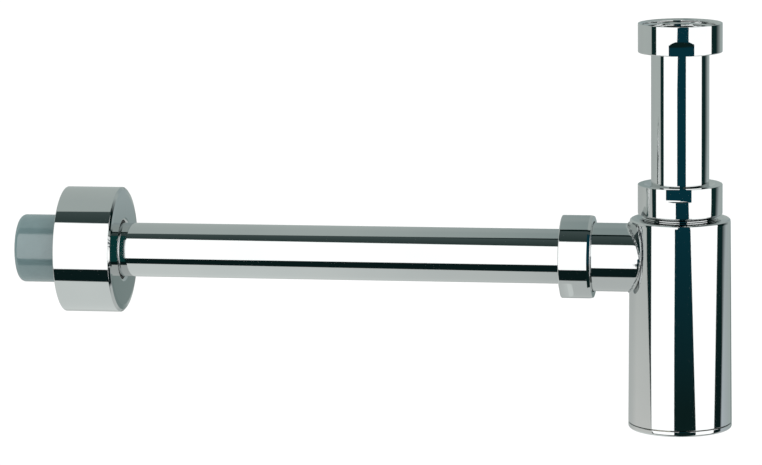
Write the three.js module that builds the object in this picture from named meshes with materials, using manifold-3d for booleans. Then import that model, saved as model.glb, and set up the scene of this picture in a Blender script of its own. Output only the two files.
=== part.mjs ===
// Chromed round bottle trap for a washbasin, with wall tube, rosette and rubber sleeve.
// Millimetres, +Z up. The inlet axis is the Z axis, the wall is toward -X, and the origin is
// the centre of the top face of the inlet washer.
import * as THREE from 'three';
import { mergeVertices } from 'three/addons/utils/BufferGeometryUtils.js';
import Module from 'manifold-3d';

const wasm = await Module();
wasm.setup();

// ---- driving dimensions ----
const GAP = 0.3;              // running clearance between pieces that touch
const SEG = 36;               // facets around chromed pieces
const SEG_SOFT = 24;          // facets around seals and slip rings

const PITCH = 2.309;          // G1 1/4 and G1 1/8 pipe threads
const G114_MAJOR = 20.955;
const G114_MINOR = 19.476;

const TUBE_R = 16;            // inlet tube, 32 mm
const TUBE_WALL = 1;
const TUBE_END = -138;        // lower end, inside the dip tube
const FLANGE_R = 19;          // formed flange at the top of the inlet tube
const FLANGE_TOP = -3.5;
const FLANGE_T = 1.3;
const WASHER_T = 3.2;
const WASHER_BORE = 15.2;
const WASHER_R = 19.1;

const NUT_R = 23.2;           // inlet union nut
const NUT_TOP = 7;
const NUT_BOTTOM = -9.1;
const SHOULDER_T = 2.5;       // inward shoulder of every nut
const FLAT_DEPTH = 1.03;      // two spanner flats milled at the shoulder end of every nut
const FLAT_LENGTH = 6.8;      // of the flats on the inlet nut and the outlet nut
const NECK_FLAT_LENGTH = 5.8;
const FLAT_RAMP = 1.6;        // sloped end of each flat
const INLET_FLATS_DEG = 6.8;  // how far the flats are turned from facing front and back
const NECK_FLATS_DEG = 2.8;
const OUTLET_FLATS_DEG = 48;  // the front one faces downward
const NUT_PLAY = 0.6;         // radial clearance of the shoulder on the inlet tube
const SLIP_T = 1.2;           // nylon slip rings
const RING_PLAY = 0.45;       // radial clearance of rings and seals on their tube

const NECK_NUT_R = 23.35;
const NECK_NUT_TOP = -82.2;
const NECK_NUT_BOTTOM = -99.1;
const NECK_NUT_ROUND = 1.2;   // edge at the bottom of the nut
const NECK_TOP = -89;         // mouth of the threaded neck
const NECK_BORE = 16.5;
const MALE_CREST = 20.15;     // thread crests are cut back so the nut can travel freely
const MALE_ROOT = 19.4;
const THREAD_RELIEF = 2.6;    // plain stretch under the neck's thread
const FEMALE_CREST = 20.5;
const FEMALE_ROOT = 21.1;

const BODY_TOP = -101;        // flat top of the bottle
const BODY_TOP_R = 27.86;
const BODY_LOW_R = 28.72;     // the bottle widens slightly downward
const BODY_LOW = -215.6;
const BODY_ROUND = 1.8;       // rounded shoulder
const BODY_INNER = 26.3;
const BODY_THREAD_ROOT = 27;  // of the thread that takes the cap
const COLLAR_BORE = 19;       // collar that holds the dip tube
const COLLAR_R = 20.8;
const COLLAR_LOW = -111.4;

const DIP_R = 18.6;
const DIP_BORE = 16.5;
const DIP_TOP = -103.4;
const DIP_LOW = -190;
const DIP_GROOVE = -107.8;    // middle of the O-ring groove
const DIP_GROOVE_R = 17.4;
const DIP_O_RING = 0.62;      // section radius

const CAP_PITCH = 2;          // thread of the clean-out cap
const CAP_CREST = 26;
const CAP_ROOT = 25.3;
const CAP_TOP = -202.5;
const CAP_SEAM = -216;
const CAP_LOW = -219;
const CAP_ROUND = 0.6;
const CAP_CUP_R = 22.8;
const CAP_FLOOR_T = 2.5;
const CAP_GROOVE = -205;      // middle of the O-ring groove
const CAP_GROOVE_R = 24.3;
const CAP_O_RING = 0.77;      // section radius
const GROOVE_HALF = 1;        // half the width of the cap's groove
const COIN_SLOT = [32, 4, 3]; // half of its 3 mm is above the underside of the cap

const OUTLET_Z = -123.9;      // axis of branch, wall tube and rosette
const WALL_TUBE_R = 15.25;
const WALL_TUBE_IN = -44;
const WALL_TUBE_OUT = -365;

const SPIGOT_R = 19.05;
const SPIGOT_BORE = 15.8;
const SPIGOT_END = -58.8;
const SPIGOT_SHOULDER = -49.5;
const SPIGOT_CREST = 18.2;
const SPIGOT_ROOT = 17.6;
const BRAZE_R = 1.4;          // bead of braze around the saddle

const OUT_NUT_R = 23.1;
const OUT_NUT_LEFT = -65.6;
const OUT_NUT_RIGHT = -47.8;
const OUT_CREST = 18.5;
const OUT_ROOT = 19.1;
const OUT_BEVEL = 1.9;        // length of the shallow bevel at the right end
const OUT_SEAL_R = 17.9;

const ROSE_R = 35.44;
const ROSE_FRONT = -315.5;
const ROSE_CREASE_R = 31.5;   // where the flat front meets the shoulder
const ROSE_SHOULDER_R = 34.3; // where the shoulder turns down to the side
const ROSE_BACK = -348.5;
const ROSE_T = 1.2;
const ROSE_HOLE = 16.5;
const ROSE_LIP = 3.5;         // length of the rolled lip

const SLEEVE_R = 19.2;
const SLEEVE_BORE = 15.6;
const SLEEVE_LIP = 13;        // inner radius of the lip that stops the tube
const SLEEVE_IN = -338;
const SLEEVE_OUT = -375.5;
const SLEEVE_ROUND = 3.2;

// ---- materials ----
const chrome = { color: 0xc9cdcc, roughness: 0.12, metalness: 1 };
const blackRubber = { color: 0x1b1c1c, roughness: 0.85, metalness: 0 };
const greyRubber = { color: 0x7d8583, roughness: 0.8, metalness: 0 };
const nylon = { color: 0xe4e1d6, roughness: 0.5, metalness: 0 };
const plastic = { color: 0xd4d6d2, roughness: 0.55, metalness: 0 };

// ---- helpers ----
// Profile of [radius, axial position] turned around the Z axis, always facing outward.
// It closes on itself, or runs from the axis back to the axis.
function turned(profile, segments = SEG) {
  const points = profile.map(([r, z]) => new THREE.Vector2(r, z));
  let area = 0;
  points.forEach((p, i) => {
    const q = points[(i + 1) % points.length];
    area += p.x * q.y - q.x * p.y;
  });
  if (area < 0) points.reverse();
  if (points[0].x > 0) points.push(points[0].clone());
  return new THREE.LatheGeometry(points, segments).rotateX(Math.PI / 2);
}

// A geometry turned around Z, moved onto the outlet axis: its axial position becomes X.
function onOutletAxis(geometry) {
  return geometry.rotateY(Math.PI / 2).translate(0, 0, OUTLET_Z);
}

// Flat ring from an axial position, thick in the positive direction.
function ring(bore, radius, from, thick) {
  return turned([[bore, from], [radius, from], [radius, from + thick], [bore, from + thick]],
    SEG_SOFT);
}

// Zigzag of a thread between two axial positions, from root to root.
function thread(root, crest, from, to, pitch) {
  const turns = Math.floor(Math.abs(to - from) / pitch);
  const step = Math.sign(to - from) * pitch;
  const points = [[root, from]];
  for (let i = 0; i < turns; i++) {
    points.push([crest, from + (i + 0.5) * step], [root, from + (i + 1) * step]);
  }
  return points;
}

// Quarter round between two directions, around a centre in the profile plane.
function arc(centreR, centreZ, radius, fromDeg, toDeg, steps) {
  const points = [];
  for (let i = 0; i <= steps; i++) {
    const a = THREE.MathUtils.degToRad(fromDeg + ((toDeg - fromDeg) * i) / steps);
    points.push([centreR + radius * Math.cos(a), centreZ + radius * Math.sin(a)]);
  }
  return points;
}

// Ring of round section.
function oRing(centreR, centreZ, radius) {
  return turned(arc(centreR, centreZ, radius, 0, 315, 7), SEG_SOFT);
}

function toManifold(geometry) {
  const bare = geometry.clone();
  bare.deleteAttribute('normal');
  bare.deleteAttribute('uv');
  const merged = mergeVertices(bare, 1e-4);
  return new wasm.Manifold(new wasm.Mesh({
    numProp: 3,
    vertProperties: new Float32Array(merged.attributes.position.array),
    triVerts: new Uint32Array(merged.index.array),
  }));
}

function fromManifold(solid) {
  const mesh = solid.getMesh();
  const geometry = new THREE.BufferGeometry();
  geometry.setAttribute('position', new THREE.BufferAttribute(mesh.vertProperties, 3));
  geometry.setIndex(new THREE.BufferAttribute(mesh.triVerts, 1));
  return geometry;
}

// Cuts the two spanner flats into a nut. Its shoulder end is at the axial position end, and
// the flats run from there in the direction sense. The nut is then turned on its axis.
function withFlats(nut, radius, end, sense, length, turnDeg) {
  const flat = radius - FLAT_DEPTH;
  const slope = FLAT_RAMP / FLAT_DEPTH;
  const over = 2;
  const section = new THREE.Shape([
    [flat, end - sense], [radius + over, end - sense],
    [radius + over, end + sense * (length + slope * (FLAT_DEPTH + over))],
    [flat, end + sense * length],
  ].map(([r, z]) => new THREE.Vector2(r, z)));
  const width = radius * 2;
  const toYZ = new THREE.Matrix4().makeBasis(
    new THREE.Vector3(0, 1, 0), new THREE.Vector3(0, 0, 1), new THREE.Vector3(1, 0, 0));
  const cutter = new THREE.ExtrudeGeometry(section, { depth: width, bevelEnabled: false })
    .translate(0, 0, -width / 2).applyMatrix4(toYZ);
  const solid = toManifold(nut)
    .subtract(toManifold(cutter))
    .subtract(toManifold(cutter.rotateZ(Math.PI)));
  return fromManifold(solid).rotateZ(THREE.MathUtils.degToRad(turnDeg));
}

// ---- inlet ----
function inletNut() {
  const shoulder = NUT_BOTTOM + SHOULDER_T;
  const lead = 1.1;
  const nut = turned([
    [TUBE_R + NUT_PLAY, NUT_BOTTOM], [NUT_R - 0.5, NUT_BOTTOM], [NUT_R, NUT_BOTTOM + 0.5],
    [NUT_R, NUT_TOP - 0.6], [NUT_R - 0.6, NUT_TOP], [G114_MAJOR + 0.3, NUT_TOP],
    ...thread(G114_MAJOR, G114_MINOR, NUT_TOP - lead, shoulder + 3.5, PITCH),
    [G114_MAJOR, shoulder], [TUBE_R + NUT_PLAY, shoulder],
  ]);
  return withFlats(nut, NUT_R, NUT_BOTTOM, 1, FLAT_LENGTH, INLET_FLATS_DEG);
}

function inletWasher() {
  return ring(WASHER_BORE, WASHER_R, -WASHER_T, WASHER_T);
}

function inletSlipRing() {
  return ring(TUBE_R + RING_PLAY, FLANGE_R + GAP, NUT_BOTTOM + SHOULDER_T + GAP, SLIP_T);
}

function inletTube() {
  const bore = TUBE_R - TUBE_WALL;
  const under = FLANGE_TOP - FLANGE_T;
  return turned([
    [bore, TUBE_END], [TUBE_R, TUBE_END], [TUBE_R, under - 0.3], [TUBE_R + 0.3, under],
    [FLANGE_R, under], [FLANGE_R, FLANGE_TOP], [bore + 0.5, FLANGE_TOP],
    [bore, FLANGE_TOP - 0.5],
  ]);
}

// ---- neck ----
function neckNut() {
  const shoulder = NECK_NUT_TOP - SHOULDER_T;
  const nut = turned([
    [FEMALE_ROOT + 0.3, NECK_NUT_BOTTOM], [NECK_NUT_R - NECK_NUT_ROUND, NECK_NUT_BOTTOM],
    [NECK_NUT_R, NECK_NUT_BOTTOM + NECK_NUT_ROUND], [NECK_NUT_R, NECK_NUT_TOP - 0.3],
    [NECK_NUT_R - 0.3, NECK_NUT_TOP], [NECK_BORE, NECK_NUT_TOP], [NECK_BORE, shoulder],
    [FEMALE_ROOT, shoulder],
    ...thread(FEMALE_ROOT, FEMALE_CREST, NECK_TOP - 0.4, NECK_NUT_BOTTOM + 1.6, PITCH),
  ]);
  return withFlats(nut, NECK_NUT_R, NECK_NUT_TOP, -1, NECK_FLAT_LENGTH, NECK_FLATS_DEG);
}

function neckSlipRing() {
  const top = NECK_NUT_TOP - SHOULDER_T - GAP;
  return ring(TUBE_R + RING_PLAY, MALE_ROOT + 0.2, top - SLIP_T, SLIP_T);
}

function neckConeSeal() {
  const top = NECK_NUT_TOP - SHOULDER_T - 2 * GAP - SLIP_T;
  const head = NECK_TOP + GAP;
  const nose = head - 2.9;
  const bore = TUBE_R + GAP;
  return turned([
    [bore, nose], [bore + 0.4, nose], [bore + 1.8, head], [MALE_ROOT, head],
    [MALE_ROOT, top], [bore, top],
  ], SEG_SOFT);
}

// ---- bottle ----
// Outer radius of the bottle's wall at a height.
function bodyRadius(z) {
  const share = (BODY_TOP - BODY_ROUND - z) / (BODY_TOP - BODY_ROUND - BODY_LOW);
  return BODY_TOP_R + (BODY_LOW_R - BODY_TOP_R) * share;
}

function bottleBody() {
  const ceiling = BODY_TOP - 2;
  const cone = 3.5;
  const threadTop = BODY_LOW + 7.5;
  const chamfer = 1.5;
  const shell = turned([
    [NECK_BORE, ceiling], [NECK_BORE, NECK_TOP - cone], [MALE_ROOT - 1, NECK_TOP],
    [MALE_ROOT, NECK_TOP],
    ...thread(MALE_ROOT, MALE_CREST, NECK_TOP - 0.5, BODY_TOP + THREAD_RELIEF, PITCH),
    [MALE_ROOT, BODY_TOP],
    ...arc(BODY_TOP_R - BODY_ROUND, BODY_TOP - BODY_ROUND, BODY_ROUND, 90, 0, 4),
    [BODY_LOW_R, BODY_LOW], [BODY_THREAD_ROOT + 0.2, BODY_LOW],
    ...thread(BODY_THREAD_ROOT, BODY_INNER, BODY_LOW + 0.6, threadTop, CAP_PITCH),
    [BODY_INNER, threadTop + 0.4], [BODY_INNER, ceiling - chamfer],
    [BODY_INNER - chamfer, ceiling],
    [COLLAR_R, ceiling], [COLLAR_R, COLLAR_LOW], [COLLAR_BORE, COLLAR_LOW],
    [COLLAR_BORE, ceiling],
  ]);
  const outside = -40;
  const inside = -22;
  const branch = turned([
    [0, outside], [SPIGOT_BORE, outside], [SPIGOT_BORE, inside], [0, inside]]);
  return fromManifold(toManifold(shell).subtract(toManifold(onOutletAxis(branch))));
}

// Curve where the branch meets the wall of the bottle, between two turns of the branch.
class SaddleCurve extends THREE.Curve {
  constructor(from, to) {
    super();
    this.from = from;
    this.to = to;
  }

  getPoint(t) {
    const a = (this.from + (this.to - this.from) * t) * 2 * Math.PI;
    const y = SPIGOT_R * Math.cos(a);
    const z = OUTLET_Z + SPIGOT_R * Math.sin(a);
    return new THREE.Vector3(-Math.sqrt(bodyRadius(z) ** 2 - y * y), y, z);
  }
}

// Bead of braze along part of the saddle.
function brazeBead(from, to) {
  const section = new THREE.Shape().absarc(0, 0, BRAZE_R, 0, 2 * Math.PI, false);
  return new THREE.ExtrudeGeometry(section, {
    steps: 16, curveSegments: 6, bevelEnabled: false, extrudePath: new SaddleCurve(from, to),
  });
}

function outletSpigot() {
  const cone = 2.2;
  const inside = -14;
  const tube = turned([
    [SPIGOT_BORE, SPIGOT_END + cone], [SPIGOT_ROOT - 0.7, SPIGOT_END],
    [SPIGOT_ROOT, SPIGOT_END],
    ...thread(SPIGOT_ROOT, SPIGOT_CREST, SPIGOT_END + 0.3, SPIGOT_SHOULDER, PITCH),
    [SPIGOT_ROOT, SPIGOT_SHOULDER - 0.4], [SPIGOT_R - 0.2, SPIGOT_SHOULDER],
    [SPIGOT_R, SPIGOT_SHOULDER + 0.3],
    [SPIGOT_R, inside], [SPIGOT_BORE, inside],
  ]);
  // The bead is swept in two halves that overlap a little, so that it closes.
  const bead = toManifold(brazeBead(-0.01, 0.51)).add(toManifold(brazeBead(0.49, 1.01)));
  const above = OUTLET_Z + 2 * SPIGOT_R;
  const below = OUTLET_Z - 2 * SPIGOT_R;
  const wall = turned([
    [0, below], [bodyRadius(below) + GAP, below], [bodyRadius(above) + GAP, above], [0, above],
  ], 2 * SEG);
  return fromManifold(toManifold(onOutletAxis(tube)).add(bead).subtract(toManifold(wall)));
}

function dipTube() {
  const half = 0.9;
  const lead = 0.6;
  return turned([
    [DIP_BORE, DIP_LOW], [DIP_R - 0.3, DIP_LOW], [DIP_R, DIP_LOW + 0.5],
    [DIP_R, DIP_GROOVE - half], [DIP_GROOVE_R, DIP_GROOVE - half],
    [DIP_GROOVE_R, DIP_GROOVE + half], [DIP_R, DIP_GROOVE + half],
    [DIP_R, DIP_TOP - lead], [DIP_R - lead, DIP_TOP], [DIP_BORE + lead, DIP_TOP],
    [DIP_BORE, DIP_TOP - lead],
  ], SEG_SOFT);
}

function dipTubeORing() {
  return oRing(DIP_GROOVE_R + DIP_O_RING + 0.155, DIP_GROOVE, DIP_O_RING);
}

// ---- clean-out ----
function cleanoutCap() {
  const floor = CAP_LOW + CAP_FLOOR_T;
  const below = CAP_GROOVE - GROOVE_HALF;
  const above = CAP_GROOVE + GROOVE_HALF;
  const cap = turned([
    [0, CAP_LOW], [BODY_LOW_R - CAP_ROUND, CAP_LOW], [BODY_LOW_R, CAP_LOW + CAP_ROUND],
    [BODY_LOW_R, CAP_SEAM - 0.2], [BODY_LOW_R - 0.2, CAP_SEAM], [CAP_ROOT, CAP_SEAM],
    ...thread(CAP_ROOT, CAP_CREST, CAP_SEAM + 0.6, below - 1, CAP_PITCH),
    [CAP_CREST, below - 0.6], [CAP_CREST, below], [CAP_GROOVE_R, below],
    [CAP_GROOVE_R, above], [CAP_CREST, above], [CAP_CREST, CAP_TOP - 0.4],
    [CAP_CREST - 0.4, CAP_TOP], [CAP_CUP_R, CAP_TOP], [CAP_CUP_R, floor], [0, floor],
  ]);
  const slot = new THREE.BoxGeometry(...COIN_SLOT).translate(0, 0, CAP_LOW);
  return fromManifold(toManifold(cap).subtract(toManifold(slot)));
}

function cleanoutORing() {
  return oRing(CAP_GROOVE_R + CAP_O_RING + 0.21, CAP_GROOVE, CAP_O_RING);
}

// ---- outlet ----
function outletNut() {
  const shoulder = OUT_NUT_LEFT + SHOULDER_T;
  const mouth = OUT_NUT_RIGHT - 2.5;
  const collar = SPIGOT_R + 0.5;
  const nut = turned([
    [SPIGOT_BORE, OUT_NUT_LEFT], [OUT_NUT_R - 0.6, OUT_NUT_LEFT],
    [OUT_NUT_R, OUT_NUT_LEFT + 0.6], [OUT_NUT_R, OUT_NUT_RIGHT - OUT_BEVEL],
    [OUT_NUT_R - 0.4, OUT_NUT_RIGHT - 0.2], [OUT_NUT_R - 0.6, OUT_NUT_RIGHT],
    [collar, OUT_NUT_RIGHT], [collar, mouth],
    ...thread(OUT_ROOT, OUT_CREST, mouth, SPIGOT_END + 0.8, PITCH),
    [OUT_ROOT, shoulder], [SPIGOT_BORE, shoulder],
  ]);
  return withFlats(nut, OUT_NUT_R, OUT_NUT_LEFT, 1, FLAT_LENGTH, OUTLET_FLATS_DEG);
}

function outletSlipRing() {
  return ring(WALL_TUBE_R + RING_PLAY, OUT_SEAL_R + GAP, OUT_NUT_LEFT + SHOULDER_T + GAP,
    SLIP_T);
}

function outletConeSeal() {
  const left = OUT_NUT_LEFT + SHOULDER_T + 2 * GAP + SLIP_T;
  const head = SPIGOT_END - GAP;
  const nose = head + 1.7;
  const bore = WALL_TUBE_R + GAP;
  return turned([
    [bore, left], [OUT_SEAL_R, left], [OUT_SEAL_R, head], [bore + 1.05, head],
    [bore + 0.25, nose], [bore, nose],
  ], SEG_SOFT);
}

function wallTube() {
  const bore = WALL_TUBE_R - TUBE_WALL;
  return turned([
    [bore, WALL_TUBE_OUT], [WALL_TUBE_R, WALL_TUBE_OUT], [WALL_TUBE_R, WALL_TUBE_IN],
    [bore, WALL_TUBE_IN],
  ]);
}

// ---- wall rosette and sleeve ----
function wallEscutcheon() {
  const inner = ROSE_R - ROSE_T;
  const shallow = 0.35;
  const steep = 1.2;
  const edge = 0.4;
  const lipRound = 2.2;
  return turned([
    [ROSE_HOLE, ROSE_FRONT - ROSE_LIP], [ROSE_HOLE + ROSE_T, ROSE_FRONT - ROSE_LIP],
    [ROSE_HOLE + ROSE_T, ROSE_FRONT - ROSE_T], [ROSE_CREASE_R, ROSE_FRONT - ROSE_T],
    [inner, ROSE_FRONT - ROSE_T - steep], [inner, ROSE_BACK], [ROSE_R - 0.3, ROSE_BACK],
    [ROSE_R, ROSE_BACK + 0.3], [ROSE_R, ROSE_FRONT - steep - edge],
    [ROSE_R - edge / 2, ROSE_FRONT - steep], [ROSE_SHOULDER_R, ROSE_FRONT - shallow],
    [ROSE_CREASE_R, ROSE_FRONT],
    ...arc(ROSE_HOLE + lipRound, ROSE_FRONT - lipRound, lipRound, 90, 180, 3),
  ]);
}

function escutcheonGripRing() {
  const bore = WALL_TUBE_R + GAP;
  const collar = ROSE_HOLE - 0.35;
  const flange = 18.6;
  const front = ROSE_FRONT - 1;
  const step = ROSE_FRONT - ROSE_LIP - GAP;
  const back = step - 3;
  return turned([
    [bore, back], [flange, back], [flange, step], [collar, step], [collar, front],
    [bore, front],
  ], SEG_SOFT);
}

function wallSleeve() {
  const stop = WALL_TUBE_OUT - GAP;
  const chamfer = 0.8;
  return turned([
    [SLEEVE_LIP, SLEEVE_OUT],
    ...arc(SLEEVE_R - SLEEVE_ROUND, SLEEVE_OUT + SLEEVE_ROUND, SLEEVE_ROUND, -90, 0, 4),
    [SLEEVE_R, SLEEVE_IN - chamfer], [SLEEVE_R - chamfer, SLEEVE_IN],
    [SLEEVE_BORE, SLEEVE_IN], [SLEEVE_BORE, stop], [SLEEVE_LIP, stop],
  ], SEG_SOFT);
}

// ---- scene graph ----
function group(name, ...children) {
  const node = new THREE.Group();
  node.name = name;
  return node.add(...children);
}

function piece(name, geometry, look) {
  const mesh = new THREE.Mesh(geometry, new THREE.MeshStandardMaterial(look));
  mesh.name = name;
  return mesh;
}

const inlet = group('inlet',
  piece('inlet_nut', inletNut(), chrome),
  piece('inlet_washer', inletWasher(), blackRubber),
  piece('inlet_slip_ring', inletSlipRing(), nylon),
  piece('inlet_tube', inletTube(), chrome));

const bottle = group('bottle',
  piece('neck_nut', neckNut(), chrome),
  piece('neck_slip_ring', neckSlipRing(), nylon),
  piece('neck_cone_seal', neckConeSeal(), blackRubber),
  piece('bottle_body', bottleBody(), chrome),
  piece('outlet_spigot', outletSpigot(), chrome),
  piece('dip_tube', dipTube(), plastic),
  piece('dip_tube_o_ring', dipTubeORing(), blackRubber),
  piece('cleanout_cap', cleanoutCap(), chrome),
  piece('cleanout_o_ring', cleanoutORing(), blackRubber));

// These pieces are turned around Z, and the group lays their axis along X.
const outlet = group('outlet',
  piece('outlet_nut', outletNut(), chrome),
  piece('outlet_slip_ring', outletSlipRing(), nylon),
  piece('outlet_cone_seal', outletConeSeal(), blackRubber),
  piece('wall_tube', wallTube(), chrome),
  piece('wall_escutcheon', wallEscutcheon(), chrome),
  piece('escutcheon_grip_ring', escutcheonGripRing(), blackRubber),
  piece('wall_sleeve', wallSleeve(), greyRubber));
outlet.rotation.y = Math.PI / 2;
outlet.position.z = OUTLET_Z;

export default group('bottle_trap', inlet, bottle, outlet);
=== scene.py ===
"""Chromed bottle trap: the visual pieces, their materials, the studio and the camera.

Metres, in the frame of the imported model: the inlet tube runs along +Z, the wall is toward -X.
"""
import math

import bmesh
import bpy
from mathutils import Matrix, Vector, noise


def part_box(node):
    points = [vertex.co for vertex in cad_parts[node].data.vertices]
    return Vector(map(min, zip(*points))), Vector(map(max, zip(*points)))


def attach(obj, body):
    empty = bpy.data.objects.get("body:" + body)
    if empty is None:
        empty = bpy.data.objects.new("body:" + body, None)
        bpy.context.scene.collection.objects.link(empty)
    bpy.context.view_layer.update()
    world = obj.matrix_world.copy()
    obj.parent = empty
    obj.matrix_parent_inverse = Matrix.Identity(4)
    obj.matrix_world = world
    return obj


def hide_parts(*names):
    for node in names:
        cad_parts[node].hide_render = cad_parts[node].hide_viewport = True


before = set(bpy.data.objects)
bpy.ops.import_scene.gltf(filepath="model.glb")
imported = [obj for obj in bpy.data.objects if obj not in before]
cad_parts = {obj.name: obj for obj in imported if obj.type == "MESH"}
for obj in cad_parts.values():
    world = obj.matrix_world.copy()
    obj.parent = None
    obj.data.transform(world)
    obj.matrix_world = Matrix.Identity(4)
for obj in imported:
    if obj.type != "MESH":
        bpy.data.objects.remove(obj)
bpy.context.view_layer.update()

MM = 0.001
SEG = 192            # facets around a visible piece
SHARP = 32           # degrees; sharper edges stay crisp
FULL_TURN = 2 * math.pi

# Sizes in millimetres.
PITCH = 2.309        # pipe threads
CAP_PITCH = 2.0
FLAT_DEPTH = 1.03    # spanner flats, at their middle
FLAT_LENGTH = 4.8    # flats of the inlet nut and the outlet nut
FLAT_RAMP = 2.9      # length of their sloping ends for each millimetre of depth
NECK_FLAT = 5.7      # flats of the neck nut
NECK_NOSE = 1.7      # radius at their ends
NUT_SHOULDER = 2.5   # thickness of the end of a nut that bears on its slip ring
INLET_NUT_R = 23.2
NECK_NUT_R = 23.35
OUTLET_NUT_R = 23.1


# ---------------------------------------------------------------- where things are (mm)
def span(node, axis):
    """Lowest and highest coordinate of a CAD node along an axis, in millimetres."""
    low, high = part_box(node)
    return low[axis] / MM, high[axis] / MM


OUTLET_Z = sum(span("wall_tube", 2)) / 2


# ---------------------------------------------------------------- profiles
def rounded(corners, steps=5):
    """A closed profile of (radius, place, rounding) corners, with each rounding turned into an arc."""
    points = []
    for i, (r, a, fillet) in enumerate(corners):
        here = Vector((r, a))
        if fillet <= 0:
            points.append((r, a))
            continue
        before = Vector(corners[i - 1][:2]) - here
        after = Vector(corners[(i + 1) % len(corners)][:2]) - here
        half = before.angle(after) / 2
        reach = min(fillet / math.tan(half), before.length * 0.48, after.length * 0.48)
        radius = reach * math.tan(half)
        before.normalize()
        after.normalize()
        centre = here + (before + after).normalized() * (radius / math.sin(half))
        start, end = here + before * reach - centre, here + after * reach - centre
        turn = math.atan2(start.x * end.y - start.y * end.x, start.dot(end))
        for k in range(steps + 1):
            c, s = math.cos(turn * k / steps), math.sin(turn * k / steps)
            points.append((centre.x + start.x * c - start.y * s,
                           centre.y + start.x * s + start.y * c))
    return points


def thread(root, crest, start, end, pitch, per_turn=14):
    """Rows of a helical thread: (root radius, place, height of the crest, pitch).
    It runs out at both ends."""
    count = max(2, round(abs(end - start) / pitch * per_turn))
    rows = []
    for k in range(count + 1):
        place = start + (end - start) * k / count
        fade = min(1.0, 2.2 * k / per_turn, 2.2 * (count - k) / per_turn)
        rows.append((root, place, (crest - root) * fade, pitch))
    return rows


def crest_shape(phase):
    """Height of a rounded V thread at a phase from 0 to 1."""
    v = 1 - abs(2 * (phase % 1.0) - 1)
    return min(1.0, max(0.0, (v - 0.1) / 0.8))


def row_radius(row, angle):
    """The radius of a profile row at an angle. A row of a thread adds its crest there."""
    if len(row) == 2:
        return row[0]
    root, place, crest, pitch = row
    return root + crest * crest_shape(place / pitch - angle / FULL_TURN)


def place_point(along, radius, angle, axis):
    """A point at a radius and angle around the inlet axis (z) or the outlet axis (x)."""
    c, s = radius * math.cos(angle), radius * math.sin(angle)
    if axis == "z":
        return Vector((c, s, along)) * MM
    return Vector((along, c, OUTLET_Z + s)) * MM


def turned(name, profile, axis="z", segments=SEG, bare=None):
    """A closed profile turned around an axis. Rows with a crest height become a helical thread.
    Rows for which bare is true were never plated."""
    mesh = bmesh.new()
    layer = mesh.verts.layers.float.new("bare")
    rings = []
    for row in profile:
        ring = []
        for j in range(segments):
            angle = FULL_TURN * j / segments
            vert = mesh.verts.new(place_point(row[1], row_radius(row, angle), angle, axis))
            vert[layer] = 1.0 if bare and bare(row) else 0.0
            ring.append(vert)
        rings.append(ring)
    for i, ring in enumerate(rings):
        if i == len(rings) - 1 and profile[0][0] == 0:
            break
        above = rings[(i + 1) % len(rings)]
        for j in range(segments):
            k = (j + 1) % segments
            mesh.faces.new((ring[j], ring[k], above[k], above[j]))
    if profile[0][0] == 0:
        bmesh.ops.remove_doubles(mesh, verts=[*rings[0], *rings[-1]], dist=1e-7)
    bmesh.ops.recalc_face_normals(mesh, faces=mesh.faces)
    return to_object(name, mesh)


def to_object(name, mesh):
    """A finished bmesh as an object in the scene."""
    data = bpy.data.meshes.new(name)
    mesh.to_mesh(data)
    mesh.free()
    obj = bpy.data.objects.new(name, data)
    bpy.context.scene.collection.objects.link(obj)
    return obj


def smooth(obj):
    """Smooth shading apart from sharp edges. Large faces look true right up to their rims."""
    obj.data.polygons.foreach_set("use_smooth", [True] * len(obj.data.polygons))
    obj.data.set_sharp_from_angle(angle=math.radians(SHARP))
    weighted = obj.modifiers.new("true_faces", "WEIGHTED_NORMAL")
    weighted.keep_sharp = True
    weighted.weight = 90


def carve(obj, *cutters):
    """Cuts the cutters out of a piece and removes them."""
    for cutter in cutters:
        cut = obj.modifiers.new("cut", "BOOLEAN")
        cut.object, cut.operation, cut.solver = cutter, "DIFFERENCE", "EXACT"
    bpy.context.view_layer.update()
    graph = bpy.context.evaluated_depsgraph_get()
    made = bpy.data.meshes.new_from_object(obj.evaluated_get(graph))
    obj.modifiers.clear()
    old, obj.data = obj.data, made
    bpy.data.meshes.remove(old)
    made.name = obj.name
    for cutter in cutters:
        bpy.data.objects.remove(cutter)


def prism(section, half_length, turn):
    """A bar along X with a section of (y, z) points in millimetres, then moved by a matrix."""
    mesh = bmesh.new()
    ends = [[mesh.verts.new(Vector((x, y, z)) * MM) for y, z in section]
            for x in (-half_length, half_length)]
    mesh.faces.new(ends[0])
    mesh.faces.new(list(reversed(ends[1])))
    for i in range(len(section)):
        k = (i + 1) % len(section)
        mesh.faces.new((ends[0][k], ends[0][i], ends[1][i], ends[1][k]))
    bmesh.ops.transform(mesh, matrix=turn, verts=mesh.verts)
    bmesh.ops.recalc_face_normals(mesh, faces=mesh.faces)
    return to_object("cutter", mesh)


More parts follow.
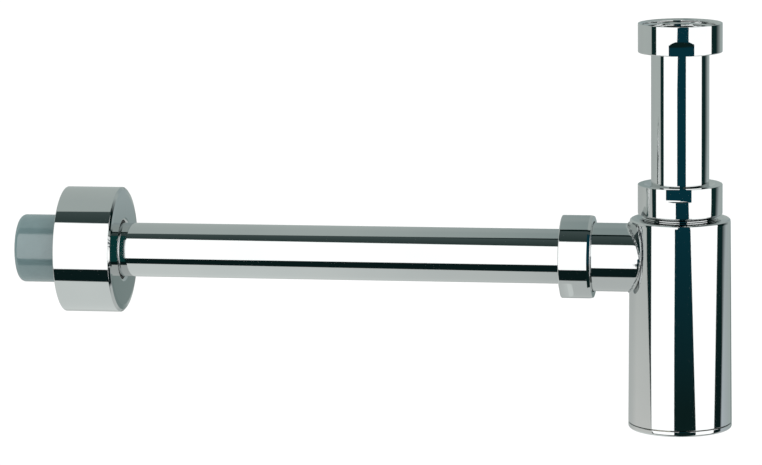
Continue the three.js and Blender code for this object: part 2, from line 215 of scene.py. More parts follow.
def flat_cutters(radius, end, sense, length, turn_deg, axis="z", nose=0):
    """The two bars that mill the spanner flats into a nut, from its shoulder end. A bar has a
    sloping end, or a round nose."""
    over, steps = 2.0, 12    # how far a bar stands out of the nut, and the steps of its nose
    flat, stop = radius - FLAT_DEPTH, end + sense * length
    section = [(radius + over, end - sense), (flat, end - sense)]
    if nose:
        section += [(flat + nose * (1 - math.cos(t)), stop + sense * nose * math.sin(t))
                    for t in (math.pi / 2 * k / steps for k in range(steps + 1))]
        section += [(radius + over, stop + sense * nose)]
    else:
        rise = sense * FLAT_RAMP * (FLAT_DEPTH + over)
        section += [(flat, stop), (radius + over, stop + rise)]
    bars = []
    for side in (0, math.pi):
        turn = Matrix.Rotation(math.radians(turn_deg) + side, 4, "Z")
        if axis == "x":
            turn = (Matrix.Translation((0, 0, OUTLET_Z * MM))
                    @ Matrix.Rotation(math.pi / 2, 4, "Y") @ turn)
        bars.append(prism(section, radius, turn))
    return bars


# ---------------------------------------------------------------- materials
class Graph:
    """A new material, and short names for the nodes it needs."""

    def __init__(self, name):
        self.material = bpy.data.materials.new(name)
        self.material.use_nodes = True
        self.nodes, self.links = self.material.node_tree.nodes, self.material.node_tree.links
        self.shader = self.nodes["Principled BSDF"]
        self.coords = self.nodes.new("ShaderNodeTexCoord").outputs["Object"]

    def feed(self, socket, value):
        """Sets a socket to a number or a colour, or links another socket to it."""
        if isinstance(value, bpy.types.NodeSocket):
            self.links.new(value, socket)
        elif isinstance(value, tuple):
            socket.default_value = (*value, 1)
        else:
            socket.default_value = value

    def math(self, operation, *values):
        node = self.nodes.new("ShaderNodeMath")
        node.operation = operation
        for socket, value in zip(node.inputs, values):
            self.feed(socket, value)
        return node.outputs[0]

    def total(self, first, *rest):
        for value in rest:
            first = self.math("ADD", first, value)
        return first

    def spread(self, value, low, high, to_low, to_high):
        """Maps a value from one range to another and holds it there."""
        node = self.nodes.new("ShaderNodeMapRange")
        for name, number in zip(("Value", "From Min", "From Max", "To Min", "To Max"),
                                (value, low, high, to_low, to_high)):
            self.feed(node.inputs[name], number)
        return node.outputs["Result"]

    def noise(self, scale, detail=3.0, stretch=(1, 1, 1)):
        mapping = self.nodes.new("ShaderNodeMapping")
        mapping.inputs["Scale"].default_value = stretch
        self.links.new(self.coords, mapping.inputs["Vector"])
        texture = self.nodes.new("ShaderNodeTexNoise")
        texture.inputs["Scale"].default_value = scale
        texture.inputs["Detail"].default_value = detail
        self.links.new(mapping.outputs["Vector"], texture.inputs["Vector"])
        return texture.outputs["Fac"]

    def mix(self, share, first, second):
        """The first colour where share is 0, the second where it is 1."""
        node = self.nodes.new("ShaderNodeMix")
        node.data_type = "RGBA"
        self.feed(node.inputs["Factor"], share)
        self.feed(node.inputs[6], first)
        self.feed(node.inputs[7], second)
        return node.outputs[2]

    def bump(self, height, distance, below=None):
        node = self.nodes.new("ShaderNodeBump")
        node.inputs["Distance"].default_value = distance
        self.links.new(height, node.inputs["Height"])
        if below:
            self.links.new(below, node.inputs["Normal"])
        return node.outputs["Normal"]

    def attribute(self, name):
        node = self.nodes.new("ShaderNodeAttribute")
        node.attribute_name = name
        return node.outputs["Fac"]

    def surface(self, colour, rough, normal):
        self.feed(self.shader.inputs["Base Color"], colour)
        self.feed(self.shader.inputs["Roughness"], rough)
        self.links.new(normal, self.shader.inputs["Normal"])
        return self.material

    def axes(self):
        """The x, y and z of the object's own coordinates."""
        node = self.nodes.new("ShaderNodeSeparateXYZ")
        self.links.new(self.coords, node.inputs[0])
        return node.outputs

    def emission(self, colour):
        node = self.nodes.new("ShaderNodeEmission")
        self.feed(node.inputs["Color"], colour)
        return node.outputs[0]

    def show(self, shader):
        """Makes a shader the whole surface of the material."""
        self.links.new(shader, self.nodes["Material Output"].inputs["Surface"])
        return self.material


def chrome(name, lines):
    """Polished plate: faint polishing lines across `lines`, a soft waviness, smudges and water spots.
    The attribute bare marks brass that was never plated, and braze the bead of the joint."""
    graph = Graph(name)
    polish = graph.noise(30, 2, lines)
    smudge = graph.noise(22, 5)
    spots = graph.noise(420, 2)
    bare, braze = graph.attribute("bare"), graph.attribute("braze")
    rough = graph.total(
        graph.spread(polish, 0.35, 0.65, 0.030, 0.045),
        graph.spread(smudge, 0.55, 0.75, 0.0, 0.035),
        graph.spread(spots, 0.70, 0.76, 0.0, 0.05),
        graph.math("MULTIPLY", bare, 0.26),
        graph.math("MULTIPLY", braze, 0.10))
    plate = graph.mix(graph.spread(smudge, 0.3, 0.7, 0, 1),
                      (0.680, 0.695, 0.692), (0.650, 0.668, 0.668))
    plate = graph.mix(bare, plate, (0.60, 0.54, 0.42))
    bead = graph.math("MULTIPLY", graph.noise(1100, 3), braze)
    plate = graph.mix(graph.spread(bead, 0.40, 0.58, 0, 0.9), plate, (0.10, 0.125, 0.13))
    normal = graph.bump(graph.noise(24, 1), 0.00003)
    normal = graph.bump(polish, 0.0000012, normal)
    normal = graph.bump(bead, 0.0005, normal)
    graph.shader.inputs["Metallic"].default_value = 1.0
    return graph.surface(plate, rough, normal)


def moulded(name, colour, shade, rough, grain, depth, gloss=1.5):
    """Moulded rubber or plastic: mottled colour, uneven gloss and a fine grain."""
    graph = Graph(name)
    graph.shader.inputs["IOR"].default_value = gloss
    large = graph.noise(26, 3)
    mottle = graph.math("MULTIPLY", graph.noise(130, 5), large)
    normal = graph.bump(large, 0.0002)
    normal = graph.bump(graph.noise(grain, 4), depth, normal)
    return graph.surface(
        graph.mix(graph.spread(mottle, 0.15, 0.35, 0, 1), shade, colour),
        graph.spread(large, 0.3, 0.7, rough - 0.05, rough + 0.07), normal)


LOOKS = {
    "chrome_z": ("chrome", chrome("chrome_z", (1, 1, 40))),
    "chrome_x": ("chrome", chrome("chrome_x", (40, 1, 1))),
    "black_rubber": ("black_rubber", moulded(
        "black_rubber", (0.018, 0.019, 0.019), (0.032, 0.034, 0.034), 0.55, 2600, 0.00003)),
    "grey_rubber": ("grey_rubber", moulded(
        "grey_rubber", (0.140, 0.213, 0.218), (0.124, 0.190, 0.196), 0.15, 1800, 0.00001, 1.9)),
    "nylon": ("nylon", moulded(
        "nylon", (0.74, 0.72, 0.64), (0.66, 0.63, 0.54), 0.42, 1500, 0.00001)),
    "grey_plastic": ("grey_plastic", moulded(
        "grey_plastic", (0.56, 0.58, 0.56), (0.49, 0.51, 0.49), 0.38, 1500, 0.00001)),
}


def finish_piece(obj, node, body, look):
    """Gives a piece its smooth shading, finish and body, and hides the CAD node it stands for."""
    slot, material = LOOKS[look]
    smooth(obj)
    obj.data.materials.clear()
    obj.data.materials.append(material)
    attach(obj, body)
    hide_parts(node)


# ---------------------------------------------------------------- inlet
def make_inlet_nut():
    low, top = span("inlet_nut", 2)
    shoulder = low + NUT_SHOULDER
    flats_end = low + FLAT_LENGTH + FLAT_RAMP + 0.3
    flats_turn = 6.8
    root, crest, bore = 20.955, 19.476, 16.6    # internal G 1 1/4 thread
    profile = rounded([
        (bore, low, 0.3), (INLET_NUT_R, low, 0.55), (INLET_NUT_R, flats_end, 0),
        (INLET_NUT_R, top, 0.35), (INLET_NUT_R - 0.9, top, 0.25)])
    profile.append((root, top - 1.0))
    profile += thread(root, crest, top - 1.1, shoulder + 3.0, PITCH)
    profile += [(root, shoulder), (bore, shoulder)]
    nut = turned("inlet_nut_piece", profile)
    carve(nut, *flat_cutters(INLET_NUT_R, low, 1, FLAT_LENGTH, flats_turn))
    finish_piece(nut, "inlet_nut", "inlet_nut", "chrome_z")


def make_inlet_tube():
    low, top = span("inlet_tube", 2)
    under = top - 1.3
    bore, radius, flange = 15, 16, 19
    profile = rounded([
        (bore, low, 0.2), (radius, low, 0.25), (radius, under, 0.3), (flange, under, 0.3),
        (flange, top, 0.4), (bore, top, 0.5)])
    tube = turned("inlet_tube_piece", profile, bare=lambda row: row[0] < bore + 0.2)
    finish_piece(tube, "inlet_tube", "inlet", "chrome_z")


def make_washer():
    low, top = span("inlet_washer", 2)
    bore, radius, edge = 15.2, 19.1, 0.35
    finish_piece(turned("inlet_washer_piece", rounded([
        (bore, low, edge), (radius, low, edge), (radius, top, edge), (bore, top, edge)])),
        "inlet_washer", "inlet", "black_rubber")


def make_slip_ring(node, body, axis, bore, radius):
    low, high = span(node, 2 if axis == "z" else 0)
    edge = 0.25
    finish_piece(turned(node + "_piece", rounded([
        (bore, low, edge), (radius, low, edge), (radius, high, edge), (bore, high, edge)]),
        axis), node, body, "nylon")


def make_o_ring(node, body, radius, section):
    middle = sum(span(node, 2)) / 2
    profile = [(radius + section * math.cos(a), middle + section * math.sin(a))
               for a in (FULL_TURN * k / 20 for k in range(20))]
    finish_piece(turned(node + "_piece", profile), node, body, "black_rubber")


# ---------------------------------------------------------------- neck
def make_neck_nut():
    low, top = span("neck_nut", 2)
    shoulder = top - NUT_SHOULDER
    flats_end = top - NECK_FLAT - NECK_NOSE
    flats_turn = 2.8
    root, crest, bore = 21.1, 20.5, 16.5
    countersink_r, countersink = 19.6, 1.8
    profile = rounded([
        (root + 0.3, low, 0.2), (NECK_NUT_R, low, 1.2), (NECK_NUT_R, flats_end, 0),
        (NECK_NUT_R, top, 0.3), (countersink_r, top, 0.2), (bore + 0.3, top - countersink, 0.2),
        (bore, shoulder, 0.2), (root, shoulder, 0.3)])
    profile += thread(root, crest, shoulder - 3.9, low + 1.2, PITCH)
    nut = turned("neck_nut_piece", profile)
    carve(nut, *flat_cutters(NECK_NUT_R, top, -1, NECK_FLAT, flats_turn, nose=NECK_NOSE))
    finish_piece(nut, "neck_nut", "neck_nut", "chrome_z")


def make_neck_seal():
    low, top = span("neck_cone_seal", 2)
    head = low + 2.9
    bore, tip, cone, radius = 16.3, 16.7, 18.1, 19.3
    finish_piece(turned("neck_cone_seal_piece", rounded([
        (bore, low, 0.1), (tip, low, 0.1), (cone, head, 0.15), (radius, head, 0.2),
        (radius, top, 0.3), (bore, top, 0.2)], 3)),
        "neck_cone_seal", "neck_seal", "black_rubber")


# ---------------------------------------------------------------- bottle
BODY_LOW, NECK_TOP = span("bottle_body", 2)
BODY_TOP = NECK_TOP - 12
BODY_SHOULDER = 2.2    # height of the rounded shoulder
BODY_TOP_R = 27.86
BODY_LOW_R = 28.72
BODY_BORE = 26.3
CAP_SCREW_ROOT = 27.0  # internal thread at the foot of the bottle
NECK_ROOT = 19.4       # external thread of the neck
NECK_CREST = 20.15
SPIGOT_BORE = 15.8
SPIGOT_R = 19.05
SPIGOT_ROOT = 17.6     # external thread of the branch
SPIGOT_CREST = 18.2


def body_radius(z):
    """Outer radius of the bottle's wall at a height."""
    edge = BODY_TOP - BODY_SHOULDER
    return BODY_TOP_R + (BODY_LOW_R - BODY_TOP_R) * (edge - z) / (edge - BODY_LOW)


def make_body():
    ceiling = BODY_TOP - 2
    neck_bore, seat, neck_foot = 16.5, 18.4, 20.1
    collar_bore, collar, collar_low = 19.0, 20.8, ceiling - 8.4
    profile = [(neck_bore, ceiling), (neck_bore, NECK_TOP - 3.5), (seat, NECK_TOP),
               (NECK_ROOT, NECK_TOP)]
    profile += thread(NECK_ROOT, NECK_CREST, NECK_TOP - 0.3, BODY_TOP + 2.2, PITCH)
    profile += [(NECK_ROOT, BODY_TOP + 1.6), (neck_foot, BODY_TOP + 0.7)]
    profile += rounded([
        (neck_foot, BODY_TOP, 0.5), (23.9, BODY_TOP, 0.4), (26.9, BODY_TOP - 0.5, 0.5),
        (27.7, BODY_TOP - 1.1, 0.5), (BODY_TOP_R, BODY_TOP - BODY_SHOULDER, 0.5),
        (BODY_LOW_R, BODY_LOW, 0.3),
        (27.2, BODY_LOW, 0.1), (24, NECK_TOP, 0)], 9)[:-1]
    profile += thread(CAP_SCREW_ROOT, BODY_BORE, BODY_LOW + 0.5, BODY_LOW + 7.6, CAP_PITCH, 10)
    profile += [(BODY_BORE, BODY_LOW + 8.2), (BODY_BORE, ceiling - 1.5),
                (BODY_BORE - 1.5, ceiling), (collar, ceiling), (collar, collar_low),
                (collar_bore, collar_low), (collar_bore, ceiling)]
    body = turned("bottle_body_piece", profile,
                  bare=lambda row: row[0] < 26.9 and row[1] < BODY_TOP - 1)
    outside, inside = -40, -22
    branch = turned("cutter", [(0, outside), (SPIGOT_BORE, outside), (SPIGOT_BORE, inside),
                               (0, inside)], "x", 96)
    carve(body, branch)
    finish_piece(body, "bottle_body", "bottle", "chrome_z")


def saddle_point(radius, angle):
    """The point of the bottle's wall straight in from a point beside the branch."""
    y, z = radius * math.cos(angle), OUTLET_Z + radius * math.sin(angle)
    return Vector((-math.sqrt(body_radius(z) ** 2 - y * y), y, z))


def stem_column(stem, angle):
    """The threaded end of the branch along one line."""
    return [(place_point(row[1], row_radius(row, angle), angle, "x"), 0,
             row[0] < SPIGOT_BORE + 0.1) for row in stem]


def plain_column(first, start):
    """The plain tube along one line, from near its shoulder to the start of the bead."""
    return [(Vector((first + (start.x - first) * k / 8.3, start.y, start.z)) * MM, 0, False)
            for k in range(1, 9)]


def bead_column(start, root, finish, outward, size):
    """The braze bead along one line: a curve over the saddle that swells, ripples and has an
    undercut near its start."""
    column = []
    steps = 16
    for k in range(steps + 1):
        t = k / steps
        point = start * (1 - t) ** 2 + root * (2 * t * (1 - t)) + finish * t * t
        swell = math.sin(math.pi * t)
        ripple = 0.30 * noise.noise(point * 1.3) + 0.12 * noise.noise(point * 4.0)
        undercut = 0.22 * math.exp(-((t - 0.1) / 0.07) ** 2)
        lift = swell * (0.16 + ripple) - undercut
        column.append(((point + outward * (lift * size)) * MM, min(1.0, 3 * swell), False))
    return column


def spigot_column(stem, first, angle):
    """Everything along one line of the branch: (point, share of braze, never plated)."""
    up = math.sin(angle)
    lump = 1 + 0.3 * noise.noise(Vector((5 * math.cos(angle), 5 * math.sin(angle), 7)))
    size = lump * (0.5 + (1.1 if up > 0 else 0.6) * up * up)
    root = saddle_point(SPIGOT_R, angle)
    start = Vector((root.x - size, root.y, root.z))
    finish = saddle_point(SPIGOT_R + size, angle)
    outward = Vector((-1, math.cos(angle), up)).normalized()
    inner = saddle_point(SPIGOT_BORE, angle)
    return (stem_column(stem, angle) + plain_column(first, start)
            + bead_column(start, root, finish, outward, size)
            + [(Vector((inner.x - 0.3, inner.y, inner.z)) * MM, 0, True)])


def make_spigot():
    """The side branch: threaded end, plain tube, and a slightly uneven braze bead on the saddle."""
    end = span("outlet_spigot", 0)[0]
    shoulder = end + 9.3
    stem = [(SPIGOT_BORE, end + 2.2), (16.9, end), (SPIGOT_ROOT, end)]
    stem += thread(SPIGOT_ROOT, SPIGOT_CREST, end + 0.3, shoulder - 0.8, PITCH)
    stem += rounded([(SPIGOT_ROOT, end, 0), (SPIGOT_ROOT, shoulder, 0.2),
                     (SPIGOT_R, shoulder, 0.25), (SPIGOT_R, 0, 0)])[1:-1]
    mesh = bmesh.new()
    bead = mesh.verts.layers.float.new("braze")
    bare = mesh.verts.layers.float.new("bare")
    lines = []
    for j in range(SEG):
        line = []
        for point, braze, inside in spigot_column(stem, shoulder + 0.4, FULL_TURN * j / SEG):
            vert = mesh.verts.new(point)
            vert[bead], vert[bare] = braze, 1.0 if inside else 0.0
            line.append(vert)
        lines.append(line)
    for j, line in enumerate(lines):
        beside = lines[(j + 1) % SEG]
        for i in range(len(line)):
            k = (i + 1) % len(line)
            mesh.faces.new((line[i], beside[i], beside[k], line[k]))
    bmesh.ops.recalc_face_normals(mesh, faces=mesh.faces)
    finish_piece(to_object("outlet_spigot_piece", mesh), "outlet_spigot", "bottle", "chrome_x")


def make_dip_tube():
    low, top = span("dip_tube", 2)
    bore, radius, groove_r = 16.5, 18.6, 17.4
    groove_low, groove_top = top - 5.3, top - 3.5
    finish_piece(turned("dip_tube_piece", rounded([
        (bore, low, 0.3), (radius, low, 0.5), (radius, groove_low, 0.15),
        (groove_r, groove_low, 0.1), (groove_r, groove_top, 0.1), (radius, groove_top, 0.15),
        (radius, top, 0.6), (bore, top, 0.6)])), "dip_tube", "dip", "grey_plastic")


def make_cap():
    low, top = span("cleanout_cap", 2)
    seam, floor = low + 3, low + 2.5
    root, crest = 25.3, 26.0
    groove, groove_r, wall_r = top - 2.5, 24.3, 22.8
    profile = rounded([(0, low, 0), (BODY_LOW_R, low, 1.4), (BODY_LOW_R, seam, 0.25),
                       (root, seam, 0)], 8)
    profile += thread(root, crest, seam + 0.5, groove - 1.8, CAP_PITCH, 10)
    profile.append((crest, groove - 1.4))
    profile += rounded([
        (crest, groove - 1.5, 0), (crest, groove - 1, 0.15), (groove_r, groove - 1, 0.15),
        (groove_r, groove + 1, 0.15), (crest, groove + 1, 0.15), (crest, top, 0.4),
        (wall_r, top, 0.4), (wall_r, floor, 1.0), (0, floor, 0)])[1:]
    cap = turned("cleanout_cap_piece", profile,
                 bare=lambda row: row[0] < crest + 0.2 and row[1] > seam)
    half_width, depth, half_length = 2, 1.5, 16
    slot = prism([(-half_width, low - 2), (half_width, low - 2), (half_width, low + depth),
                  (-half_width, low + depth)], half_length, Matrix.Identity(4))
    carve(cap, slot)
    finish_piece(cap, "cleanout_cap", "cap", "chrome_z")


# ---------------------------------------------------------------- outlet and wall
def make_outlet_nut():
    left, right = span("outlet_nut", 0)
    shoulder, mouth = left + NUT_SHOULDER, right - 2.5
    flats_end = left + FLAT_LENGTH + FLAT_RAMP + 0.3
    flats_turn = 48
    root, crest, mouth_r = 19.1, 18.5, 19.75
    profile = rounded([
        (SPIGOT_BORE, left, 0.3), (OUTLET_NUT_R, left, 0.6), (OUTLET_NUT_R, flats_end, 0),
        (OUTLET_NUT_R, right - 1.9, 0.2), (OUTLET_NUT_R - 0.38, right, 0.35),
        (mouth_r, right, 0.3), (mouth_r - 0.2, mouth, 0)])
    profile += thread(root, crest, mouth - 0.1, shoulder + 4.8, PITCH)
    profile += [(root, shoulder), (SPIGOT_BORE, shoulder)]
    nut = turned("outlet_nut_piece", profile, "x")
    carve(nut, *flat_cutters(OUTLET_NUT_R, left, 1, FLAT_LENGTH, flats_turn, "x"))
    finish_piece(nut, "outlet_nut", "outlet_nut", "chrome_x")


def make_outlet_seal():
    left, right = span("outlet_cone_seal", 0)
    head = right - 1.7
    bore, tip, cone, radius = 15.55, 15.8, 16.6, 17.9
    finish_piece(turned("outlet_cone_seal_piece", rounded([
        (bore, left, 0.2), (radius, left, 0.25), (radius, head, 0.2), (cone, head, 0.1),
        (tip, right, 0.05), (bore, right, 0.05)], 3), "x"),
        "outlet_cone_seal", "outlet_seal", "black_rubber")


def make_wall_tube():
    left, right = span("wall_tube", 0)
    bore, radius = 14.25, 15.25
    tube = turned("wall_tube_piece", rounded([
        (bore, left, 0.2), (radius, left, 0.25), (radius, right, 0.25), (bore, right, 0.2)]),
        "x", bare=lambda row: row[0] < bore + 0.25)
    finish_piece(tube, "wall_tube", "wall_tube", "chrome_x")


def make_escutcheon():
    """The rosette: a shallow cone with a rounded lip at the tube, a crease, and a deep skirt."""
    back, front = span("wall_escutcheon", 0)
    hole, crease, shoulder, skirt = 16.5, 31.3, 34.0, 35.44
    sheet = 1.2
    under = front - sheet
    finish_piece(turned("wall_escutcheon_piece", rounded([
        (hole, front - 3.5, 0.2), (hole + sheet, front - 3.5, 0.2), (hole + sheet, under, 0.3),
        (crease + 0.2, under, 0.6), (skirt - sheet, front - 2.4, 0.8),
        (skirt - sheet, back, 0.2), (skirt, back, 0.45), (skirt, front - 1.4, 0.5),
        (shoulder, front - 0.3, 0.4), (crease, front, 0.1), (hole, front, 2.2)], 8), "x"),
        "wall_escutcheon", "rosette", "chrome_x")


def make_grip_ring():
    left, right = span("escutcheon_grip_ring", 0)
    step = right - 2.8
    bore, collar, flange = 15.3, 16.42, 18.6
    finish_piece(turned("escutcheon_grip_ring_piece", rounded([
        (bore, left, 0.2), (flange, left, 0.3), (flange, step, 0.3), (collar, step, 0.1),
        (collar, right, 0.4), (bore, right, 0.3)]), "x"),
        "escutcheon_grip_ring", "rose_ring", "black_rubber")


def make_sleeve():
    left, right = span("wall_sleeve", 0)
    stop = span("wall_tube", 0)[0] - 0.3
    bore, socket, radius = 13, 15.6, 19.2
    finish_piece(turned("wall_sleeve_piece", rounded([
        (bore, left, 0.6), (radius, left, 3.2), (radius, right, 0.8), (socket, right, 0.3),
        (socket, stop, 0.2), (bore, stop, 0.3)], 8), "x"), "wall_sleeve", "sleeve", "grey_rubber")


make_inlet_nut()
make_inlet_tube()
make_washer()
make_slip_ring("inlet_slip_ring", "inlet_ring", "z", bore=16.5, radius=19.3)
make_neck_nut()
make_slip_ring("neck_slip_ring", "neck_ring", "z", bore=16.4, radius=19.6)
make_neck_seal()
make_body()
make_spigot()
make_dip_tube()
make_o_ring("dip_tube_o_ring", "dip", radius=18.175, section=0.62)
make_cap()
make_o_ring("cleanout_o_ring", "cap_ring", radius=25.28, section=0.77)
make_outlet_nut()
make_slip_ring("outlet_slip_ring", "outlet_ring", "x", bore=15.7, radius=18.2)
make_outlet_seal()
make_wall_tube()
make_escutcheon()
make_grip_ring()
make_sleeve()


# ---------------------------------------------------------------- studio (metres)
TENT_R = 1.9
CURTAIN_R = 0.6
FLOOR_DROP = 0.08    # clear room under the bottle, into which the cap and the dip tube come out


def make_floor():
    """A large pale floor that the polished metal doesn't mirror."""
    mesh = bmesh.new()
    bmesh.ops.create_circle(mesh, cap_ends=True, segments=96, radius=14)
    floor = to_object("floor", mesh)
    floor.location = (0, 0, BODY_LOW * MM - FLOOR_DROP)
    graph = Graph("floor")
    graph.feed(graph.shader.inputs["Base Color"],
               graph.mix(graph.noise(1.2, 2), (0.80, 0.80, 0.80), (0.82, 0.82, 0.82)))
    graph.shader.inputs["Roughness"].default_value = 0.9
    graph.shader.inputs["Specular IOR Level"].default_value = 0.1
    floor.data.materials.append(graph.material)
    floor.visible_glossy = False
    floor.visible_shadow = False


def only_mirrored(obj, material):
    """Stage cloth that shows in polished surfaces and nowhere else."""
    material.cycles.emission_sampling = "NONE"
    obj.data.materials.append(material)
    obj.visible_camera = obj.visible_diffuse = obj.visible_shadow = False
    obj.visible_transmission = obj.visible_volume_scatter = False


class TentGraph(Graph):
    """The tent's material, and the directions it is laid out in, as seen from the tent's middle.
    Directions are degrees: `around` from the front toward +X, `over` from the front upward
    across the top, and `height` from the horizon upward."""

    def __init__(self, name):
        super().__init__(name)
        self.x, self.y, z = self.axes()
        front = self.math("MULTIPLY", self.y, -1)
        level = self.math("SQRT", self.math("SUBTRACT", TENT_R ** 2, self.math("MULTIPLY", z, z)))
        self.around = self.degrees(self.x, front)
        self.over = self.degrees(z, front)
        self.height = self.degrees(z, level)

    def degrees(self, rise, run):
        return self.math("MULTIPLY", self.math("ARCTAN2", rise, run), 180 / math.pi)

    def past(self, value, edge, soft=0.6):
        """0 before an edge and 1 after it, with a soft step."""
        beyond = self.math("SUBTRACT", value, edge)
        return self.spread(self.math("DIVIDE", beyond, soft), -1, 1, 0, 1)

    def between(self, value, low, high, soft=0.6, soft_high=None):
        """1 between two soft edges and 0 outside them."""
        beyond = self.past(value, high, soft if soft_high is None else soft_high)
        return self.math("MULTIPLY", self.past(value, low, soft),
                         self.math("SUBTRACT", 1, beyond))

    def drift(self, low, high, at_low, at_high, value=None):
        """A number that changes with height, or with another value."""
        return self.spread(self.height if value is None else value, low, high, at_low, at_high)

    def fade(self, low, high, first, second, value=None):
        """A colour that changes with height, or with another value."""
        return self.mix(self.drift(low, high, 0, 1, value), first, second)


def tent_white(tent):
    """Where the tent is white: a panel in front, and one beside it on the right."""
    left_edge = tent.drift(-15, -12, -60.4, -63)
    right_edge = tent.drift(-15, -8, 85, 98.5)
    top_edge = tent.drift(-0.80, -0.27, 58, 50.5, tent.x)
    panel = tent.math("MULTIPLY", tent.between(tent.around, left_edge, 20),
                      tent.between(tent.over, -28, top_edge))
    right_panel = tent.math("MULTIPLY", tent.between(tent.around, 20, right_edge),
                            tent.between(tent.height, -40, 48))
    return tent.math("MAXIMUM", panel, right_panel)


def tent_dark(tent):
    """Where the tent is dark: a strip around the white panels."""
    left = tent.total(tent.drift(-15, -9, -60, -76), tent.drift(-9, -5, 0, -3),
                      tent.drift(8, 20, 0, -27))
    right = tent.total(tent.drift(-15, -9.5, 107, 120.5), tent.drift(-9.5, -5.7, 0, 13.5))
    right_soft = tent.drift(-12, -5.7, 2.5, 14)
    top = tent.drift(-0.80, -0.27, 81, 90, tent.x)
    low = tent.drift(-0.80, -0.27, -51.5, -61, tent.x)
    front = tent.math("MULTIPLY", tent.between(tent.around, left, right, 0.6, right_soft),
                      tent.between(tent.over, low, top))
    side = tent.math("MULTIPLY", tent.between(tent.around, 60, right, 0.6, right_soft),
                     tent.between(tent.height, -56, 75))
    return tent.math("MAXIMUM", front, side)


def tent_shade(tent):
    """Colour of the dark strip: darkest low down, and again high up beyond the wall."""
    low = tent.fade(-14, -8, (0.0045, 0.0140, 0.0140), (0.0062, 0.026, 0.025))
    high = tent.fade(52, 80, (0.030, 0.050, 0.047), (0.062, 0.088, 0.086), tent.over)
    crown = tent.math("MULTIPLY", tent.past(tent.over, 84), tent.drift(-0.5, -0.3, 0, 1, tent.x))
    high = tent.mix(crown, high, (0.002, 0.012, 0.011))
    return tent.fade(35, 50, low, high, tent.over)


def tent_cloth(tent):
    """Colour of the grey cloth behind, at both sides, overhead and below."""
    high_back = tent.fade(-0.50, -0.25, (0.46, 0.515, 0.50), (0.30, 0.365, 0.36), tent.x)
    high_back = tent.fade(-0.20, -0.10, high_back, (0.42, 0.475, 0.46), tent.x)
    low_back = tent.fade(-0.50, -0.24, (0.47, 0.50, 0.49), (0.26, 0.29, 0.28), tent.x)
    low_back = tent.fade(-0.22, -0.12, low_back, (0.42, 0.475, 0.46), tent.x)
    back = tent.fade(-8, 8, low_back, high_back)
    straight_back = tent.between(tent.around, 160, 179, 4)
    back = tent.mix(straight_back, back,
                    tent.fade(-10.6, -8, (0.205, 0.260, 0.252), (0.36, 0.425, 0.43)))
    left = tent.fade(-15, -5, (0.70, 0.705, 0.685), (0.52, 0.565, 0.545))
    right = tent.fade(-15, -5, (0.56, 0.61, 0.65), (0.475, 0.54, 0.55))
    cloth = tent.fade(-0.5, 0.5, left, right, tent.x)
    cloth = tent.fade(0.6, 1.75, cloth, back, tent.y)
    cloth = tent.fade(30, 60, cloth, high_back)
    table = tent.fade(-0.6, -0.27, (0.74, 0.78, 0.765), (0.58, 0.61, 0.60), tent.x)
    return tent.fade(-40, -22, table, cloth)


def make_light_tent():
    """A tent around the object that only polished surfaces mirror: a broad white panel in front,
    dark strips around it, and grey cloth elsewhere."""
    mesh = bmesh.new()
    bmesh.ops.create_uvsphere(mesh, u_segments=64, v_segments=32, radius=TENT_R)
    obj = to_object("light_tent", mesh)
    obj.location = (0, 0, OUTLET_Z * MM)
    tent = TentGraph("light_tent")
    unlit = tent.mix(tent_dark(tent), tent_cloth(tent), tent_shade(tent))
    colour = tent.mix(tent_white(tent), unlit, (1.52, 1.52, 1.52))
    only_mirrored(obj, tent.show(tent.emission(colour)))


def make_curtain():
    """A dark curtain close in front of the bottle, wider at the bottom."""
    def drift(value, low, high, at_low, at_high):
        share = min(1.0, max(0.0, (value - low) / (high - low)))
        return at_low + (at_high - at_low) * share

    columns = 8
    mesh = bmesh.new()
    rows = []
    for height in range(-86, 89):
        left = -6.8 + drift(height, -14, -7.6, -1.0, 0) + drift(height, 2, 12, 0, 9.5)
        right = drift(height, -20, -5.5, 39.6, 27.3)
        tilt = math.radians(height)
        row = []
        for k in range(columns + 1):
            around = math.radians(left + (right - left) * k / columns)
            row.append(mesh.verts.new(CURTAIN_R * Vector((
                math.cos(tilt) * math.sin(around), -math.cos(tilt) * math.cos(around),
                math.sin(tilt)))))
        rows.append(row)
    for low, high in zip(rows, rows[1:]):
        for k in range(columns):
            mesh.faces.new((low[k], low[k + 1], high[k + 1], high[k]))
    curtain = to_object("curtain", mesh)
    curtain.location = (0, 0, OUTLET_Z * MM)
    graph = Graph("curtain")
    height = graph.axes()[2]
    colour = graph.mix(graph.spread(height, -0.19, -0.05, 0, 1),
                       (0.0050, 0.0175, 0.0170), (0.0030, 0.040, 0.058))
    only_mirrored(curtain, graph.show(graph.emission(colour)))


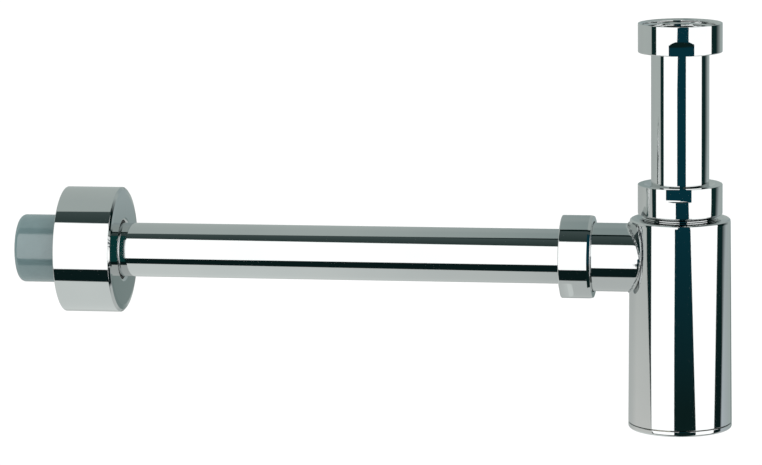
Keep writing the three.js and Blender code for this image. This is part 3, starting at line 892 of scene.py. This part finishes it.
def make_painted_corner_shade():
    """A dark glowing cone in front of the wall tube that shows only when it is mirrored twice: painted
    shade in the corner between the tube and the rosette."""
    front = span("wall_escutcheon", 0)[1]
    edges = ((26.8, 45), (15.5, 94))    # mm ahead of the rosette, and mm from the tube's axis
    mesh = bmesh.new()
    rows = []
    for height in range(-40, 66, 2):
        angle = math.radians(180 - height)
        rows.append([mesh.verts.new(place_point(front + ahead, radius, angle, "x"))
                     for ahead, radius in edges])
    for low, high in zip(rows, rows[1:]):
        mesh.faces.new((low[0], low[1], high[1], high[0]))
    graph = Graph("painted_corner_shade")
    # painted shade: a dim teal glow, seen only in double reflections, that darkens the corner between
    # the wall tube and the rosette
    dark = graph.emission((0.0060, 0.060, 0.056))
    clear = graph.nodes.new("ShaderNodeBsdfTransparent").outputs[0]
    mirrors = graph.nodes.new("ShaderNodeLightPath").outputs["Glossy Depth"]
    twice = graph.math("GREATER_THAN", mirrors, 1.5)
    seen = graph.nodes.new("ShaderNodeMixShader")
    for value, socket in zip((twice, clear, dark), seen.inputs):
        graph.links.new(value, socket)
    only_mirrored(to_object("painted_corner_shade", mesh), graph.show(seen.outputs[0]))


def make_sky():
    """Even white light from all around."""
    world = bpy.data.worlds.new("studio")
    world.use_nodes = True
    background = world.node_tree.nodes["Background"]
    background.inputs["Color"].default_value = (1, 1, 1, 1)
    background.inputs["Strength"].default_value = 1.32
    bpy.context.scene.world = world


def make_camera():
    """A long lens about two metres away, a little above and to the right of the trap."""
    data = bpy.data.cameras.new("camera")
    data.sensor_width = 36
    data.lens = 172.75
    data.clip_start, data.clip_end = 0.05, 60
    camera = bpy.data.objects.new("camera", data)
    bpy.context.scene.collection.objects.link(camera)
    camera.location = (0.1723, -1.9926, 0.2243)
    turn_left, look_down, roll = 9.683, 9.4455, -0.745
    camera.matrix_world = (
        Matrix.Translation(camera.location)
        @ Matrix.Rotation(math.radians(turn_left), 4, "Z")
        @ Matrix.Rotation(math.radians(90 - look_down), 4, "X")
        @ Matrix.Rotation(math.radians(roll), 4, "Z"))
    bpy.context.scene.camera = camera


make_floor()
make_light_tent()
make_curtain()
# painted shade in the corner between the wall tube and the rosette
make_painted_corner_shade()
make_sky()
make_camera()
bpy.context.scene.view_settings.view_transform = "Standard"
